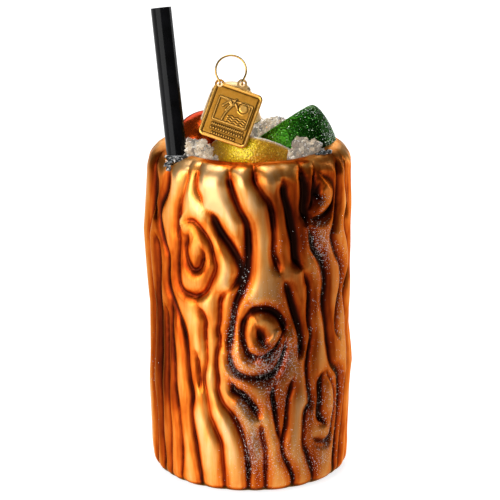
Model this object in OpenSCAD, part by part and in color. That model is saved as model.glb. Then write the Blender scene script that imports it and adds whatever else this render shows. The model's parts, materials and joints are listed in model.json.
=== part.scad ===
// Hanging glass ornament shaped like a tiki cocktail in a hollow log.
// Millimetres, +Z up. The origin is the centre of the flat base, and -Y is the front.
// A blown glass log carries a glued straw, glued fruit and glued ice grains.
// A spring-held metal cap sits on its neck and carries a wire loop and a small tag.

/* [Log] */
// Radius of the log over its bark ridges
body_r = 30; // [28:0.5:32]
// Height of the rim above the base
body_h = 100; // [96:1:106]
// Thickness of the blown glass at a ridge
wall_t = 1.6; // [1.5:0.1:2]
// Radius of the rounded rim shoulder
shoulder_r = 6.6; // [6:0.1:7.2]
// Radius of the rounded bottom edge
foot_r = 3.6; // [3:0.1:4.5]
// Depth of the drink surface below the rim
drink_drop = 3.5; // [3:0.1:4]
// Rise of the hollow in the middle of the base
base_kick = 1.2; // [0.6:0.1:1.6]

/* [Bark] */
// Number of bark grooves around the log
groove_count = 22; // [16:1:26]
// Depth of the bark grooves
groove_depth = 0.7; // [0.4:0.1:0.8]
// Radius of the tool that shapes a groove
groove_tool_r = 2.4; // [2:0.1:3]

/* [Neck] */
// Distance of the neck from the log's axis, to the left
neck_offset = 5.6; // [5:0.1:6.2]
// Outer radius of the neck tube
neck_r = 4.3; // [4:0.1:4.5]
// Wall of the neck tube
neck_wall = 1; // [0.8:0.1:1.1]
// Height of the neck's top edge above the base
neck_top = 116.9; // [116.5:0.1:116.9]

/* [Cap] */
// Thickness of the cap's sheet metal
cap_t = 0.4; // [0.3:0.05:0.5]
// Radius of the bell at its lower edge
bell_r = 9; // [8.6:0.1:9.2]
// Radius of the bell where its skirt meets its domed crown
crown_r = 5.9; // [5.6:0.1:6]
// Height of the bell's lower edge above the base
bell_bottom = 107.5; // [107.2:0.1:108]
// Half the distance between the two ears' holes
ear_half_gap = 3.3; // [3:0.1:3.5]
// Radius of an ear's hole
ear_hole_r = 0.85; // [0.8:0.05:0.9]
// Radius of an ear's rounded end
ear_r = 1.5; // [1.4:0.1:1.6]
// Length of an ear from its hole down to its root on the bell
ear_drop = 4; // [3.8:0.1:4.2]

/* [Loop and tag] */
// Radius of the hanging loop's wire
wire_r = 0.3; // [0.25:0.05:0.35]
// Radius of the hanging loop at the middle of the wire
loop_r = 4.5; // [4.3:0.1:4.8]
// Height of the loop's centre above its feet
loop_rise = 3.5; // [3.4:0.05:3.9]
// Angle at which the loop, ears and tag lean back
hang_tilt = 24; // [23.5:0.5:24.5]
// Width of the tag
tag_w = 14.9; // [13.5:0.1:15]
// Height of the tag
tag_h = 16.7; // [15:0.1:16.8]
// Thickness of the tag's plate
tag_t = 0.5; // [0.4:0.05:0.5]
// Radius of the tag's hole
tag_hole_r = 0.9; // [0.85:0.05:0.9]
// Angle by which the tag hangs turned clockwise
tag_turn = 19.6; // [18:0.2:22]

/* [Straw] */
// Outer radius of the straw
straw_r = 3.05; // [2.8:0.05:3.2]
// Wall of the straw
straw_wall = 0.5; // [0.4:0.05:0.7]
// Length of the straw above its foot
straw_len = 45.2; // [40:0.2:48]

/* [Fruit] */
// Radius of the lemon that the wedge is cut from
lemon_r = 14.6; // [14.2:0.1:14.7]
// Radius of the lime wedge's long outline, to the right
lime_side_r = 24; // [23:0.1:24.4]
// Radius of the lime wedge's front
lime_front_r = 20; // [19.5:0.1:20.4]
// Radius of the orange that the wedge is cut from
orange_r = 10.8; // [10.4:0.1:11]

/* [Hidden] */
$fn = 96;

big = 200;                              // larger than the whole ornament
skin = 0.02;                            // hairline left between glued neighbours
hair = 0.01;                            // extra radius of the knuckle where two wires meet
drink_z = body_h - drink_drop;
crest_r = body_r - shoulder_r;          // radius of the rim's highest circle
dish_r = crest_r - 3.9;                 // radius of the flat drink surface
kick_flat = 0.55 * body_r;              // radius of the hollow in the base
cap_x = -neck_offset;

// Straw: the foot stands in the front left of the rim, and the top leans left and back
straw_foot = [-21.3, -11.6, 97.6];
straw_lean_left = 6.3;
straw_lean_back = 10.8;
pocket_r = straw_r + 0.5;               // dimple in the rim that takes the straw
pocket_depth = 3.2;

// Hanging parts: their frame's origin lies between the loop's two feet, at the tag's mid-plane
hang_origin = [cap_x, -5, 119.4];
ear_y = 1.5;                            // the ears stand behind the tag
loop_y = -1.6;                          // the loop's ring stands in front of the tag
foot_back = 2.3;                        // the loop's feet end behind the ears
tag_hole_in = [1.3, 0.65];              // hole's distances from the tag's left and top edges
tag_eyelet_r = 1.35;                    // the tag's corner swells to this radius round the hole
tag_sag = 0.35;                         // the hole's centre hangs this far below the wire
tag_relief = 0.2;

// Cap: the domed crown starts at crown_z and rises by crown_rise
crown_z = 115.9;
crown_rise = 2.5;
cap_ceiling = crown_z + crown_rise - cap_t;

// Fruit: centres of the balls that the wedges are cut from
lemon_at = [2.5, 1.2, 95.5];
lemon_sink = 0.4;                       // the lemon is cut this far below its middle
lime_side_at = [2.7, 6, 93.5];
lime_front_at = [14, 12.5, 96];
orange_at = [-12.5, 10, 96.5];

// Knots in the bark: [bearing from the front, height, half width, half height]
knots = [
    [-37, 71.5, 6.0, 12.5], [5, 48, 8.6, 10.6], [46, 90, 5.2, 7], [49, 26.5, 3.8, 9.6],
    [128, 60, 7, 11], [-128, 38, 7.5, 10.5], [178, 82, 5.5, 8]
];

// ---- helpers ----

// Half section of a drum with rounded lower and upper edges
module drum_section(r, z0, z1, low_r, top_r) {
    translate([0, z0 + low_r]) square([r, z1 - z0 - low_r - top_r]);
    translate([0, z0]) square([r - low_r, low_r]);
    translate([0, z1 - top_r]) square([r - top_r, top_r]);
    translate([r - low_r, z0 + low_r]) circle(low_r);
    translate([r - top_r, z1 - top_r]) circle(top_r);
}

// Half section of the space above the drink surface, inside the rim
module dish_section(floor_z, floor_r, top_z) {
    polygon([
        [0, floor_z], [floor_r, floor_z], [crest_r, top_z],
        [crest_r, body_h + 5], [0, body_h + 5]
    ]);
}

// The log's outer shape without its bark
module log_blank() {
    rotate_extrude() difference() {
        drum_section(body_r, 0, body_h, foot_r, shoulder_r);
        dish_section(drink_z, dish_r, body_h);
    }
}

// The neck's outer shape, with a flared root on the drink surface
module neck_blank(grow = 0) {
    translate([cap_x, 0, drink_z - 0.8]) {
        cylinder(h = neck_top - drink_z + 0.8, r = neck_r + grow);
        cylinder(h = 3, r1 = neck_r + 2 + grow, r2 = neck_r + grow);
    }
}

// Places children on the straw's axis, with the straw's foot at the origin
module on_straw() {
    translate(straw_foot) rotate([-straw_lean_back, -straw_lean_left, 0]) children();
}

// Places children in the leaning frame of the ears, loop and tag
module in_hang_frame() {
    translate(hang_origin) rotate([-hang_tilt, 0, 0]) children();
}

// Places children on the log's side at a bearing and height, with +Z pointing outwards
module on_bark(bearing, height) {
    rotate([0, 0, bearing]) translate([0, 0, height]) rotate([90, 0, 0]) children();
}

module oval(a, b) {
    polygon([for (i = [0:31]) [a * cos(i * 360 / 32), b * sin(i * 360 / 32)]]);
}

module rounded_plate(w, h, r) {
    translate([r, -h]) square([w - 2 * r, h]);
    translate([0, r - h]) square([w, h - 2 * r]);
    for (x = [r, w - r], z = [-r, r - h]) translate([x, z]) circle(r);
}

// A straight wire with round ends
module wire(from, to, r) {
    v = to - from;
    l = norm(v);
    translate(from) rotate([0, acos(v[2] / l), atan2(v[1], v[0])]) cylinder(h = l, r = r);
    translate(from) sphere(r + hair);
    translate(to) sphere(r + hair);
}

// ---- glass body ----

module hollow() {
    inner_r = body_r - wall_t;
    dome_r = (kick_flat * kick_flat + base_kick * base_kick) / (2 * base_kick);
    difference() {
        rotate_extrude() difference() {
            drum_section(inner_r, wall_t, body_h - wall_t, foot_r - 1, shoulder_r - wall_t);
            dish_section(drink_z - wall_t, dish_r + wall_t / 2, body_h - wall_t);
        }
        translate([0, 0, base_kick - dome_r]) sphere(r = dome_r + wall_t);
        on_straw() translate([0, 0, -pocket_depth - wall_t]) cylinder(h = 30, r = pocket_r + 1.1);
    }
    translate([cap_x, 0, drink_z - wall_t - 1])
        cylinder(h = neck_top - drink_z + wall_t + 2, r = neck_r - neck_wall);
}

module base_hollow() {
    dome_r = (kick_flat * kick_flat + base_kick * base_kick) / (2 * base_kick);
    translate([0, 0, base_kick - dome_r]) sphere(r = dome_r);
}

// Grooves that run up the log, each leaning a little its own way and stopping at the knots
module bark_grooves() {
    reach = body_r + groove_tool_r - groove_depth;
    difference() {
        union() for (i = [0:groove_count - 1]) {
            bearing = (i + 0.3 * sin(i * 131)) * 360 / groove_count;
            lean = 2.4 * sin(i * 97);
            rotate([0, 0, bearing]) translate([0, -reach, 0]) rotate([0, lean, 0])
                translate([0, 0, -1]) cylinder(h = body_h + 2, r = groove_tool_r);
        }
        for (k = knots) on_bark(k[0], k[1]) linear_extrude(body_r + 10) oval(k[2] + 1, k[3] + 1);
    }
}

// Oval rings pressed into the bark around each knot
module knot_rings() {
    intersection() {
        union() for (k = knots) on_bark(k[0], k[1]) for (ring = [1, 0.5]) {
            linear_extrude(body_r + 5) difference() {
                oval(k[2] * ring, k[3] * ring);
                oval(k[2] * ring - 1.1, k[3] * ring - 1.1);
            }
        }
        difference() {
            cylinder(h = body_h, r = body_r + 5);
            translate([0, 0, -1]) cylinder(h = body_h + 2, r = body_r - groove_depth);
        }
    }
}

module glass_body() {
    color("peru") difference() {
        union() {
            log_blank();
            neck_blank();
        }
        hollow();
        base_hollow();
        bark_grooves();
        knot_rings();
        on_straw() translate([0, 0, -pocket_depth]) cylinder(h = 30, r = pocket_r);
    }
}

// ---- cap, spring, loop and tag ----

// The bell's skirt, from its lower edge at 0 to its crown at 1
function skirt_point(t) = [
    crown_r + (bell_r - crown_r) * pow(1 - t, 0.9),
    bell_bottom + (crown_z - bell_bottom) * t
];

// The bell's crown, from the skirt at 0 degrees to the axis at 90 degrees
function crown_point(a, inset) = [
    (crown_r - inset) * cos(a),
    crown_z + (crown_rise - inset) * sin(a)
];

module bell_section() {
    skirt = [for (i = [0:8]) skirt_point(i / 8)];
    crown = [for (i = [1:10]) crown_point(i * 9, 0)];
    inner_crown = [for (i = [10:-1:1]) crown_point(i * 9, cap_t)];
    inner_skirt = [for (i = [8:-1:0]) skirt_point(i / 8) - [cap_t, 0]];
    polygon(concat(skirt, crown, inner_crown, inner_skirt));
}

// The space under the bell
module bell_inside() {
    crown = [for (i = [1:10]) crown_point(i * 9, cap_t)];
    skirt = [for (i = [0:8]) skirt_point(i / 8) - [cap_t, 0]];
    translate([cap_x, 0, 0]) rotate_extrude() polygon(concat([[0, bell_bottom]], skirt, crown));
}

module ear(side) {
    in_hang_frame() translate([side * ear_half_gap, ear_y + cap_t / 2, 0]) rotate([90, 0, 0])
        linear_extrude(cap_t) {
            circle(ear_r);
            translate([-ear_r, -ear_drop]) square([2 * ear_r, ear_drop]);
        }
}

module ear_hole(side) {
    in_hang_frame() translate([side * ear_half_gap, ear_y, 0]) rotate([90, 0, 0])
        cylinder(h = 4 * cap_t, r = ear_hole_r, center = true);
}

module neck_cap() {
    color("goldenrod") difference() {
        union() {
            translate([cap_x, 0, 0]) rotate_extrude() bell_section();
            // rolled lower edge
            translate([cap_x, 0, bell_bottom]) rotate_extrude()
                translate([bell_r - cap_t / 2, 0]) circle(cap_t * 0.7);
            difference() {
                for (side = [-1, 1]) ear(side);
                bell_inside();
            }
        }
        for (side = [-1, 1]) ear_hole(side);
    }
}

// Bent wire clip under the cap, whose two legs press inside the neck
module cap_spring() {
    clip_r = 0.3;
    bar_z = cap_ceiling - clip_r;
    knee_z = bar_z - 13.5;
    leg_x = neck_r - neck_wall - clip_r - 0.2;
    color("silver") translate([cap_x, 0, 0]) for (side = [-1, 1]) {
        wire([0, 0, bar_z], [side * 1.6, 0, bar_z - 0.5], clip_r);
        wire([side * 1.6, 0, bar_z - 0.5], [side * leg_x, 0, knee_z], clip_r);
        wire([side * leg_x, 0, knee_z], [side * (leg_x - 0.9), 0, knee_z - 2], clip_r);
    }
}

// Wire loop: a round top, two straight legs that touch it smoothly, and two feet through the ears
module hanging_loop() {
    foot_angle = atan2(loop_rise, ear_half_gap);
    leg_turn = acos(loop_r / norm([ear_half_gap, loop_rise]));
    start = leg_turn - foot_angle;
    color("gold") in_hang_frame() {
        translate([0, loop_y, loop_rise]) rotate([90, 0, 0]) rotate([0, 0, start])
            rotate_extrude(angle = 180 - 2 * start) translate([loop_r, 0]) circle(wire_r);
        for (side = [-1, 1]) {
            foot = [side * ear_half_gap, loop_y, 0];
            top = [side * loop_r * cos(start), loop_y, loop_rise + loop_r * sin(start)];
            wire(top, foot, wire_r);
            wire(foot, [side * ear_half_gap, foot_back, 0], wire_r);
        }
    }
}

// Places children flat on the tag's front, with +X along its top edge and +Y up its side
module on_tag(height) {
    in_hang_frame() translate([-ear_half_gap, 0, -tag_sag]) rotate([0, tag_turn, 0])
        translate([-tag_hole_in[0], -height, tag_hole_in[1]]) rotate([90, 0, 0]) children();
}

// Raised picture on the tag: a thin frame, a sun and three waves
module tag_picture() {
    frame_w = tag_w - 4.6;
    frame_h = tag_h - 6;
    line = 0.35;
    translate([2.3, -2.6]) difference() {
        rounded_plate(frame_w, frame_h, 0.5);
        translate([line, -line]) rounded_plate(frame_w - 2 * line, frame_h - 2 * line, 0.3);
    }
    translate([tag_w / 2, -5.4]) circle(1.5);
    for (row = [0:2]) translate([tag_w / 2 - 3.3, -8.3 - row * 1.1]) polygon(concat(
        [for (i = [0:22]) [i * 0.3, 0.32 * sin(i * 49)]],
        [for (i = [22:-1:0]) [i * 0.3, 0.32 * sin(i * 49) - 0.4]]
    ));
}

module tag_plate() {
    rim = 0.55;
    color("goldenrod") difference() {
        union() {
            on_tag(-tag_t / 2) linear_extrude(tag_t) {
                rounded_plate(tag_w, tag_h, 1.6);
                translate([tag_hole_in[0], -tag_hole_in[1]]) circle(tag_eyelet_r);
            }
            on_tag(tag_t / 2 - 0.01) linear_extrude(tag_relief) difference() {
                rounded_plate(tag_w, tag_h, 1.6);
                translate([rim, -rim]) rounded_plate(tag_w - 2 * rim, tag_h - 2 * rim, 1.1);
                translate([tag_hole_in[0], -tag_hole_in[1]]) circle(tag_eyelet_r);
            }
            on_tag(tag_t / 2 - 0.01) linear_extrude(tag_relief) tag_picture();
        }
        on_tag(0) translate([tag_hole_in[0], -tag_hole_in[1], 0])
            cylinder(h = 4 * tag_t, r = tag_hole_r, center = true);
    }
}

// ---- straw ----

module straw() {
    color("black") on_straw() difference() {
        translate([0, 0, -pocket_depth + skin]) cylinder(h = straw_len + pocket_depth, r = straw_r);
        translate([0, 0, -pocket_depth - 1])
            cylinder(h = straw_len + pocket_depth + 2, r = straw_r - straw_wall);
    }
}

// Bead of glue around the straw where it leaves the rim
module straw_glue() {
    color("dimgray") difference() {
        on_straw() translate([0, 0, 0.4]) rotate_extrude() translate([straw_r, 0]) circle(1.4);
        on_straw() translate([0, 0, -5]) cylinder(h = 20, r = straw_r);
        log_blank();
    }
}

// ---- fruit ----

// Keeps what lies above the drink surface and clear of the rim and the neck
module laid_in_drink() {
    difference() {
        intersection() {
            children();
            translate([-big / 2, -big / 2, drink_z + skin]) cube([big, big, 30]);
        }
        log_blank();
        neck_blank(0.1);
    }
}

// Everything above a plane through a point, where turn leans the plane's normal from +Z
module above(point, turn, grow) {
    translate(point) rotate(turn) translate([-big / 2, -big / 2, grow]) cube(big);
}

module lemon_blank(grow = 0) {
    difference() {
        translate(lemon_at) sphere(lemon_r + grow);
        // the cut face leans back and to the right
        above(lemon_at, [-38, 16, 0], grow - lemon_sink);
    }
}

module lemon_wedge() {
    color("gold") laid_in_drink() lemon_blank();
}

module lime_blank(grow = 0) {
    difference() {
        intersection() {
            translate(lime_side_at) sphere(lime_side_r + grow);
            translate(lime_front_at) sphere(lime_front_r + grow);
        }
        // long cut face to the left, blunt tip, and the face at the back
        above([12, 2, 107.3], [-14, -34, 0], grow);
        above([20, 3, 110.4], [0, 9, 0], grow);
        above([0, 9, 96.5], [-90, 0, -11], grow);
    }
}

module lime_wedge() {
    color("darkgreen") difference() {
        laid_in_drink() lime_blank();
        lemon_blank(skin);
    }
}

module orange_blank(grow = 0) {
    difference() {
        translate(orange_at) sphere(orange_r + grow);
        rotate([0, 0, 35]) above([-1.5, 15.4, 96.5], [0, 90, 0], grow);
    }
}

module orange_wedge() {
    color("orangered") difference() {
        laid_in_drink() orange_blank();
        lemon_blank(skin);
    }
}

// ---- crushed ice ----

// Overlapping broken cubes inside an oval heap
module ice_heap(centre, spread, count, seed) {
    r = rands(-1, 1, 7 * count, seed);
    for (i = [0:count - 1]) {
        at = [for (axis = [0:2]) centre[axis] + spread[axis] * r[7 * i + axis]];
        turn = [for (axis = [3:5]) 180 * r[7 * i + axis]];
        translate(at) rotate(turn) cube(3.1 + 0.7 * r[7 * i + 6], center = true);
    }
}

module settled_ice() {
    color("whitesmoke") difference() {
        laid_in_drink() children();
        lemon_blank(skin);
        lime_blank(skin);
        orange_blank(skin);
        on_straw() translate([0, 0, -5]) cylinder(h = 30, r = straw_r + 1.5);
    }
}

module ice_left() {
    settled_ice() ice_heap([-15.7, -11.4, 99.1], [2.4, 2.6, 2.8], 12, 11);
}

module ice_right() {
    settled_ice() ice_heap([16.3, -12, 99], [4.1, 2.6, 2.6], 14, 23);
}

module ice_back() {
    settled_ice() union() {
        ice_heap([4, 13.5, 100], [8, 4, 3.2], 26, 37);
        ice_heap([16, 12, 98], [3, 3, 1.6], 8, 53);
    }
}

module ice_by_straw() {
    settled_ice() ice_heap([-15.5, -2, 98], [2.6, 4, 1.6], 9, 41);
}

// ---- output ----

glass_body();
neck_cap();
cap_spring();
hanging_loop();
tag_plate();
straw();
straw_glue();
lemon_wedge();
lime_wedge();
orange_wedge();
ice_left();
ice_right();
ice_back();
ice_by_straw();
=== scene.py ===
"""Looks of the hanging glass ornament shaped like a tiki cocktail in a bark log.

Lengths are millimetres in the lists and helpers below, and metres in every mesh.
A bearing is an angle round the log: 0 is the front (-Y), and positive is to the right (+X).
"""
import json
import math

import bmesh
import bpy
import numpy as np
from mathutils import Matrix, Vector
from mathutils.geometry import delaunay_2d_cdt


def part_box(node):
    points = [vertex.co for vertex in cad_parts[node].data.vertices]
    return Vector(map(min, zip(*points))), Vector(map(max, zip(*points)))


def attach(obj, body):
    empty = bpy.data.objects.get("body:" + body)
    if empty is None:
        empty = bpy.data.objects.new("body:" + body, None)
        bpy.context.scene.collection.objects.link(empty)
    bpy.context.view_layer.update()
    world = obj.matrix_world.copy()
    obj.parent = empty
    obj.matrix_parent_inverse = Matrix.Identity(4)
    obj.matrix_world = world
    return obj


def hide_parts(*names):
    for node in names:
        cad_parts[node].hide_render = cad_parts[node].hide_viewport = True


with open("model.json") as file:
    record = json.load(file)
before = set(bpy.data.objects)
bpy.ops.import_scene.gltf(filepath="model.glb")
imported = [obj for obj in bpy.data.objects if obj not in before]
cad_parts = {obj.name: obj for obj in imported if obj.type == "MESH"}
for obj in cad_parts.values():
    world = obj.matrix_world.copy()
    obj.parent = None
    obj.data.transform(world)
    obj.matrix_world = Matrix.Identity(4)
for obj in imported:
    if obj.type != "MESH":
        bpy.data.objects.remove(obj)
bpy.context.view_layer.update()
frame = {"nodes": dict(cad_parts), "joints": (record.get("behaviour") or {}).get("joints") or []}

MM = 0.001
JOINTS = {joint["name"]: joint for joint in frame["joints"]}

# the log: outside radius, height, roundings of the rim and of the foot, top of the drink
LOG_LOW, LOG_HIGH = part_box("glass_body")
BODY_R = (LOG_HIGH.x - LOG_LOW.x) / 2 / MM
BODY_H = 100.0
SHOULDER_R = 6.6
FOOT_R = 3.6
DRINK_Z = 96.5
CREST_R = BODY_R - SHOULDER_R
DISH_R = CREST_R - 3.9
# the shallow hollow under the base
KICK_R = 16.5
KICK_Z = 1.2
# the neck under the cap
NECK_X = (sum(corner.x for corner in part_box("neck_cap")) / 2) / MM
NECK_R = 4.3
NECK_TOP = LOG_HIGH.z / MM
# the straw, and the dip of the rim in front of it
STRAW_FOOT = np.array([-21.3, -11.6, 97.6])
STRAW_R = 3.05
STRAW_LEAN_LEFT = 6.3
STRAW_LEAN_BACK = 10.8
RIM_DIP = (-20.9, -14.6)
RIM_DIP_DEPTH = 2.2


# ---- small helpers ----

def smooth_step(low, high, value):
    t = np.clip((value - low) / (high - low), 0, 1)
    return t * t * (3 - 2 * t)


def unit(vector):
    vector = np.asarray(vector, float)
    return vector / np.linalg.norm(vector)


def rotation(axis, degrees):
    """Matrix of a turn about axis 0, 1 or 2."""
    sine, cosine = math.sin(math.radians(degrees)), math.cos(math.radians(degrees))
    a, b = (axis + 1) % 3, (axis + 2) % 3
    turn = np.eye(3)
    turn[a, a] = turn[b, b] = cosine
    turn[a, b], turn[b, a] = -sine, sine
    return turn


def facing(x=0, y=0, z=0):
    """The upward direction after turns about X, Y and Z, in that order."""
    return rotation(2, z) @ rotation(1, y) @ rotation(0, x) @ np.array([0, 0, 1.0])


STRAW_AXIS = facing(-STRAW_LEAN_BACK, -STRAW_LEAN_LEFT)


def catmull_rom(points, step):
    """Points about `step` apart along a smooth curve through the given points, of any dimension."""
    p = np.asarray(points, float)
    p = np.vstack([2 * p[0] - p[1], p, 2 * p[-1] - p[-2]])
    out = []
    for a, b, c, d in zip(p[:-3], p[1:-2], p[2:-1], p[3:]):
        count = max(2, int(math.ceil(np.linalg.norm((c - b)[:2]) / step)))
        t = (np.arange(count) / count)[:, None]
        out.append(0.5 * (2 * b + (c - a) * t + (2 * a - 5 * b + 4 * c - d) * t ** 2
                          + (3 * b - a - 3 * c + d) * t ** 3))
    out.append(p[-2][None])
    return np.vstack(out)


def new_object(name, vertices, faces, smooth=True):
    """A mesh object from points in millimetres and lists of their indices."""
    mesh = bpy.data.meshes.new(name)
    mesh.from_pydata((np.asarray(vertices, float) * MM).tolist(), [], faces)
    mesh.polygons.foreach_set("use_smooth", [smooth] * len(mesh.polygons))
    mesh.update()
    return add_object(name, mesh)


def add_object(name, data):
    obj = bpy.data.objects.new(name, data)
    bpy.context.scene.collection.objects.link(obj)
    return obj


def set_attribute(obj, name, values, domain="POINT"):
    attribute = obj.data.attributes.new(name, "FLOAT", domain)
    attribute.data.foreach_set("value", np.asarray(values, np.float32))


def read_vertices(obj, field):
    values = np.empty(len(obj.data.vertices) * 3, np.float32)
    obj.data.vertices.foreach_get(field, values)
    return values.reshape(-1, 3).astype(float)


def points_of(obj):
    return read_vertices(obj, "co") / MM


def set_points(obj, points):
    obj.data.vertices.foreach_set("co", (points * MM).astype(np.float32).ravel())
    obj.data.update()


def finish_piece(obj, body, slot, material, *nodes):
    """Gives a piece its material, the body it rides on and the CAD nodes it replaces. Its slot is not
    used.
    """
    obj.data.materials.clear()
    obj.data.materials.append(material)
    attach(obj, body)
    if nodes:
        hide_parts(*nodes)
    return obj


def finish_node(name, material):
    """A CAD node that stays, with its own material."""
    obj = frame["nodes"][name]
    for slot in obj.material_slots:
        slot.material = material
    if not obj.material_slots:
        obj.data.materials.append(material)


def ring_mesh(name, rings, start=None, end=None):
    """A surface through closed rings of equal length. A start or end point closes that end."""
    rows, columns = rings.shape[:2]
    index = np.arange(rows * columns).reshape(rows, columns)
    following = np.roll(index, -1, axis=1)
    quads = np.stack([index[:-1], following[:-1], following[1:], index[1:]], axis=-1)
    faces = quads.reshape(-1, 4).tolist()
    vertices = [rings.reshape(-1, 3)]
    count = rows * columns
    for tip, row, flip in ((start, 0, True), (end, rows - 1, False)):
        if tip is None:
            continue
        vertices.append(np.asarray(tip, float)[None])
        for a, b in zip(index[row], following[row]):
            faces.append([int(b), int(a), count] if flip else [int(a), int(b), count])
        count += 1
    return new_object(name, np.vstack(vertices), faces)


# ---- material helpers ----

class Nodes:
    """Short names for building a material's node tree."""

    def __init__(self, name):
        self.material = bpy.data.materials.new(name)
        self.material.use_nodes = True
        self.tree = self.material.node_tree
        self.shader = self.tree.nodes["Principled BSDF"]

    def put(self, socket, value):
        """Links a socket, or sets its value or its colour."""
        if isinstance(value, bpy.types.NodeSocket):
            self.tree.links.new(value, socket)
        else:
            socket.default_value = (*value, 1) if socket.type == "RGBA" else value

    def add(self, kind, inputs, **settings):
        """A node with its settings, and its inputs by name or number."""
        node = self.tree.nodes.new(kind)
        for key, value in settings.items():
            setattr(node, key, value)
        for key, value in inputs.items():
            self.put(node.inputs[key], value)
        return node

    def set(self, **values):
        """Inputs of the shader, with _ for each space in a name."""
        for key, value in values.items():
            self.put(self.shader.inputs[key.replace("_", " ")], value)

    def attribute(self, name):
        return self.add("ShaderNodeAttribute", {}, attribute_name=name).outputs["Fac"]

    def position(self):
        return self.add("ShaderNodeTexCoord", {}).outputs["Object"]

    def noise(self, scale, detail, roughness=0.5, where=None):
        inputs = {"Vector": where or self.position(), "Scale": scale, "Detail": detail,
                  "Roughness": roughness}
        return self.add("ShaderNodeTexNoise", inputs).outputs["Fac"]

    def cells(self, scale):
        inputs = {"Vector": self.position(), "Scale": scale}
        return self.add("ShaderNodeTexVoronoi", inputs).outputs["Distance"]

    def plus(self, a, b, clamp=True):
        return self.add("ShaderNodeMath", {0: a, 1: b}, operation="ADD", use_clamp=clamp).outputs[0]

    def span(self, value, low, high, to_low=0.0, to_high=1.0, kind="LINEAR"):
        inputs = {"Value": value, "From Min": low, "From Max": high, "To Min": to_low,
                  "To Max": to_high}
        return self.add("ShaderNodeMapRange", inputs, interpolation_type=kind).outputs["Result"]

    def cloudy(self, scale, detail, low, high):
        """Soft noise between two values."""
        return self.span(self.noise(scale, detail), 0.3, 0.7, low, high)

    def ramp(self, value, stops):
        node = self.add("ShaderNodeValToRGB", {"Fac": value})
        elements = node.color_ramp.elements
        while len(elements) < len(stops):
            elements.new(0.5)
        for element, (place, colour) in zip(elements, stops):
            element.position = place
            element.color = (*colour, 1)
        return node.outputs["Color"]

    def mix(self, factor, a, b, blend="MIX"):
        # inputs 6 and 7 and output 2 are the node's colours
        node = self.add("ShaderNodeMix", {}, data_type="RGBA", blend_type=blend)
        for number, value in ((0, factor), (6, a), (7, b)):
            self.put(node.inputs[number], value)
        return node.outputs[2]

    def bump(self, height, distance, strength):
        inputs = {"Height": height, "Distance": distance, "Strength": strength}
        self.set(Normal=self.add("ShaderNodeBump", inputs).outputs["Normal"])
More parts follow.
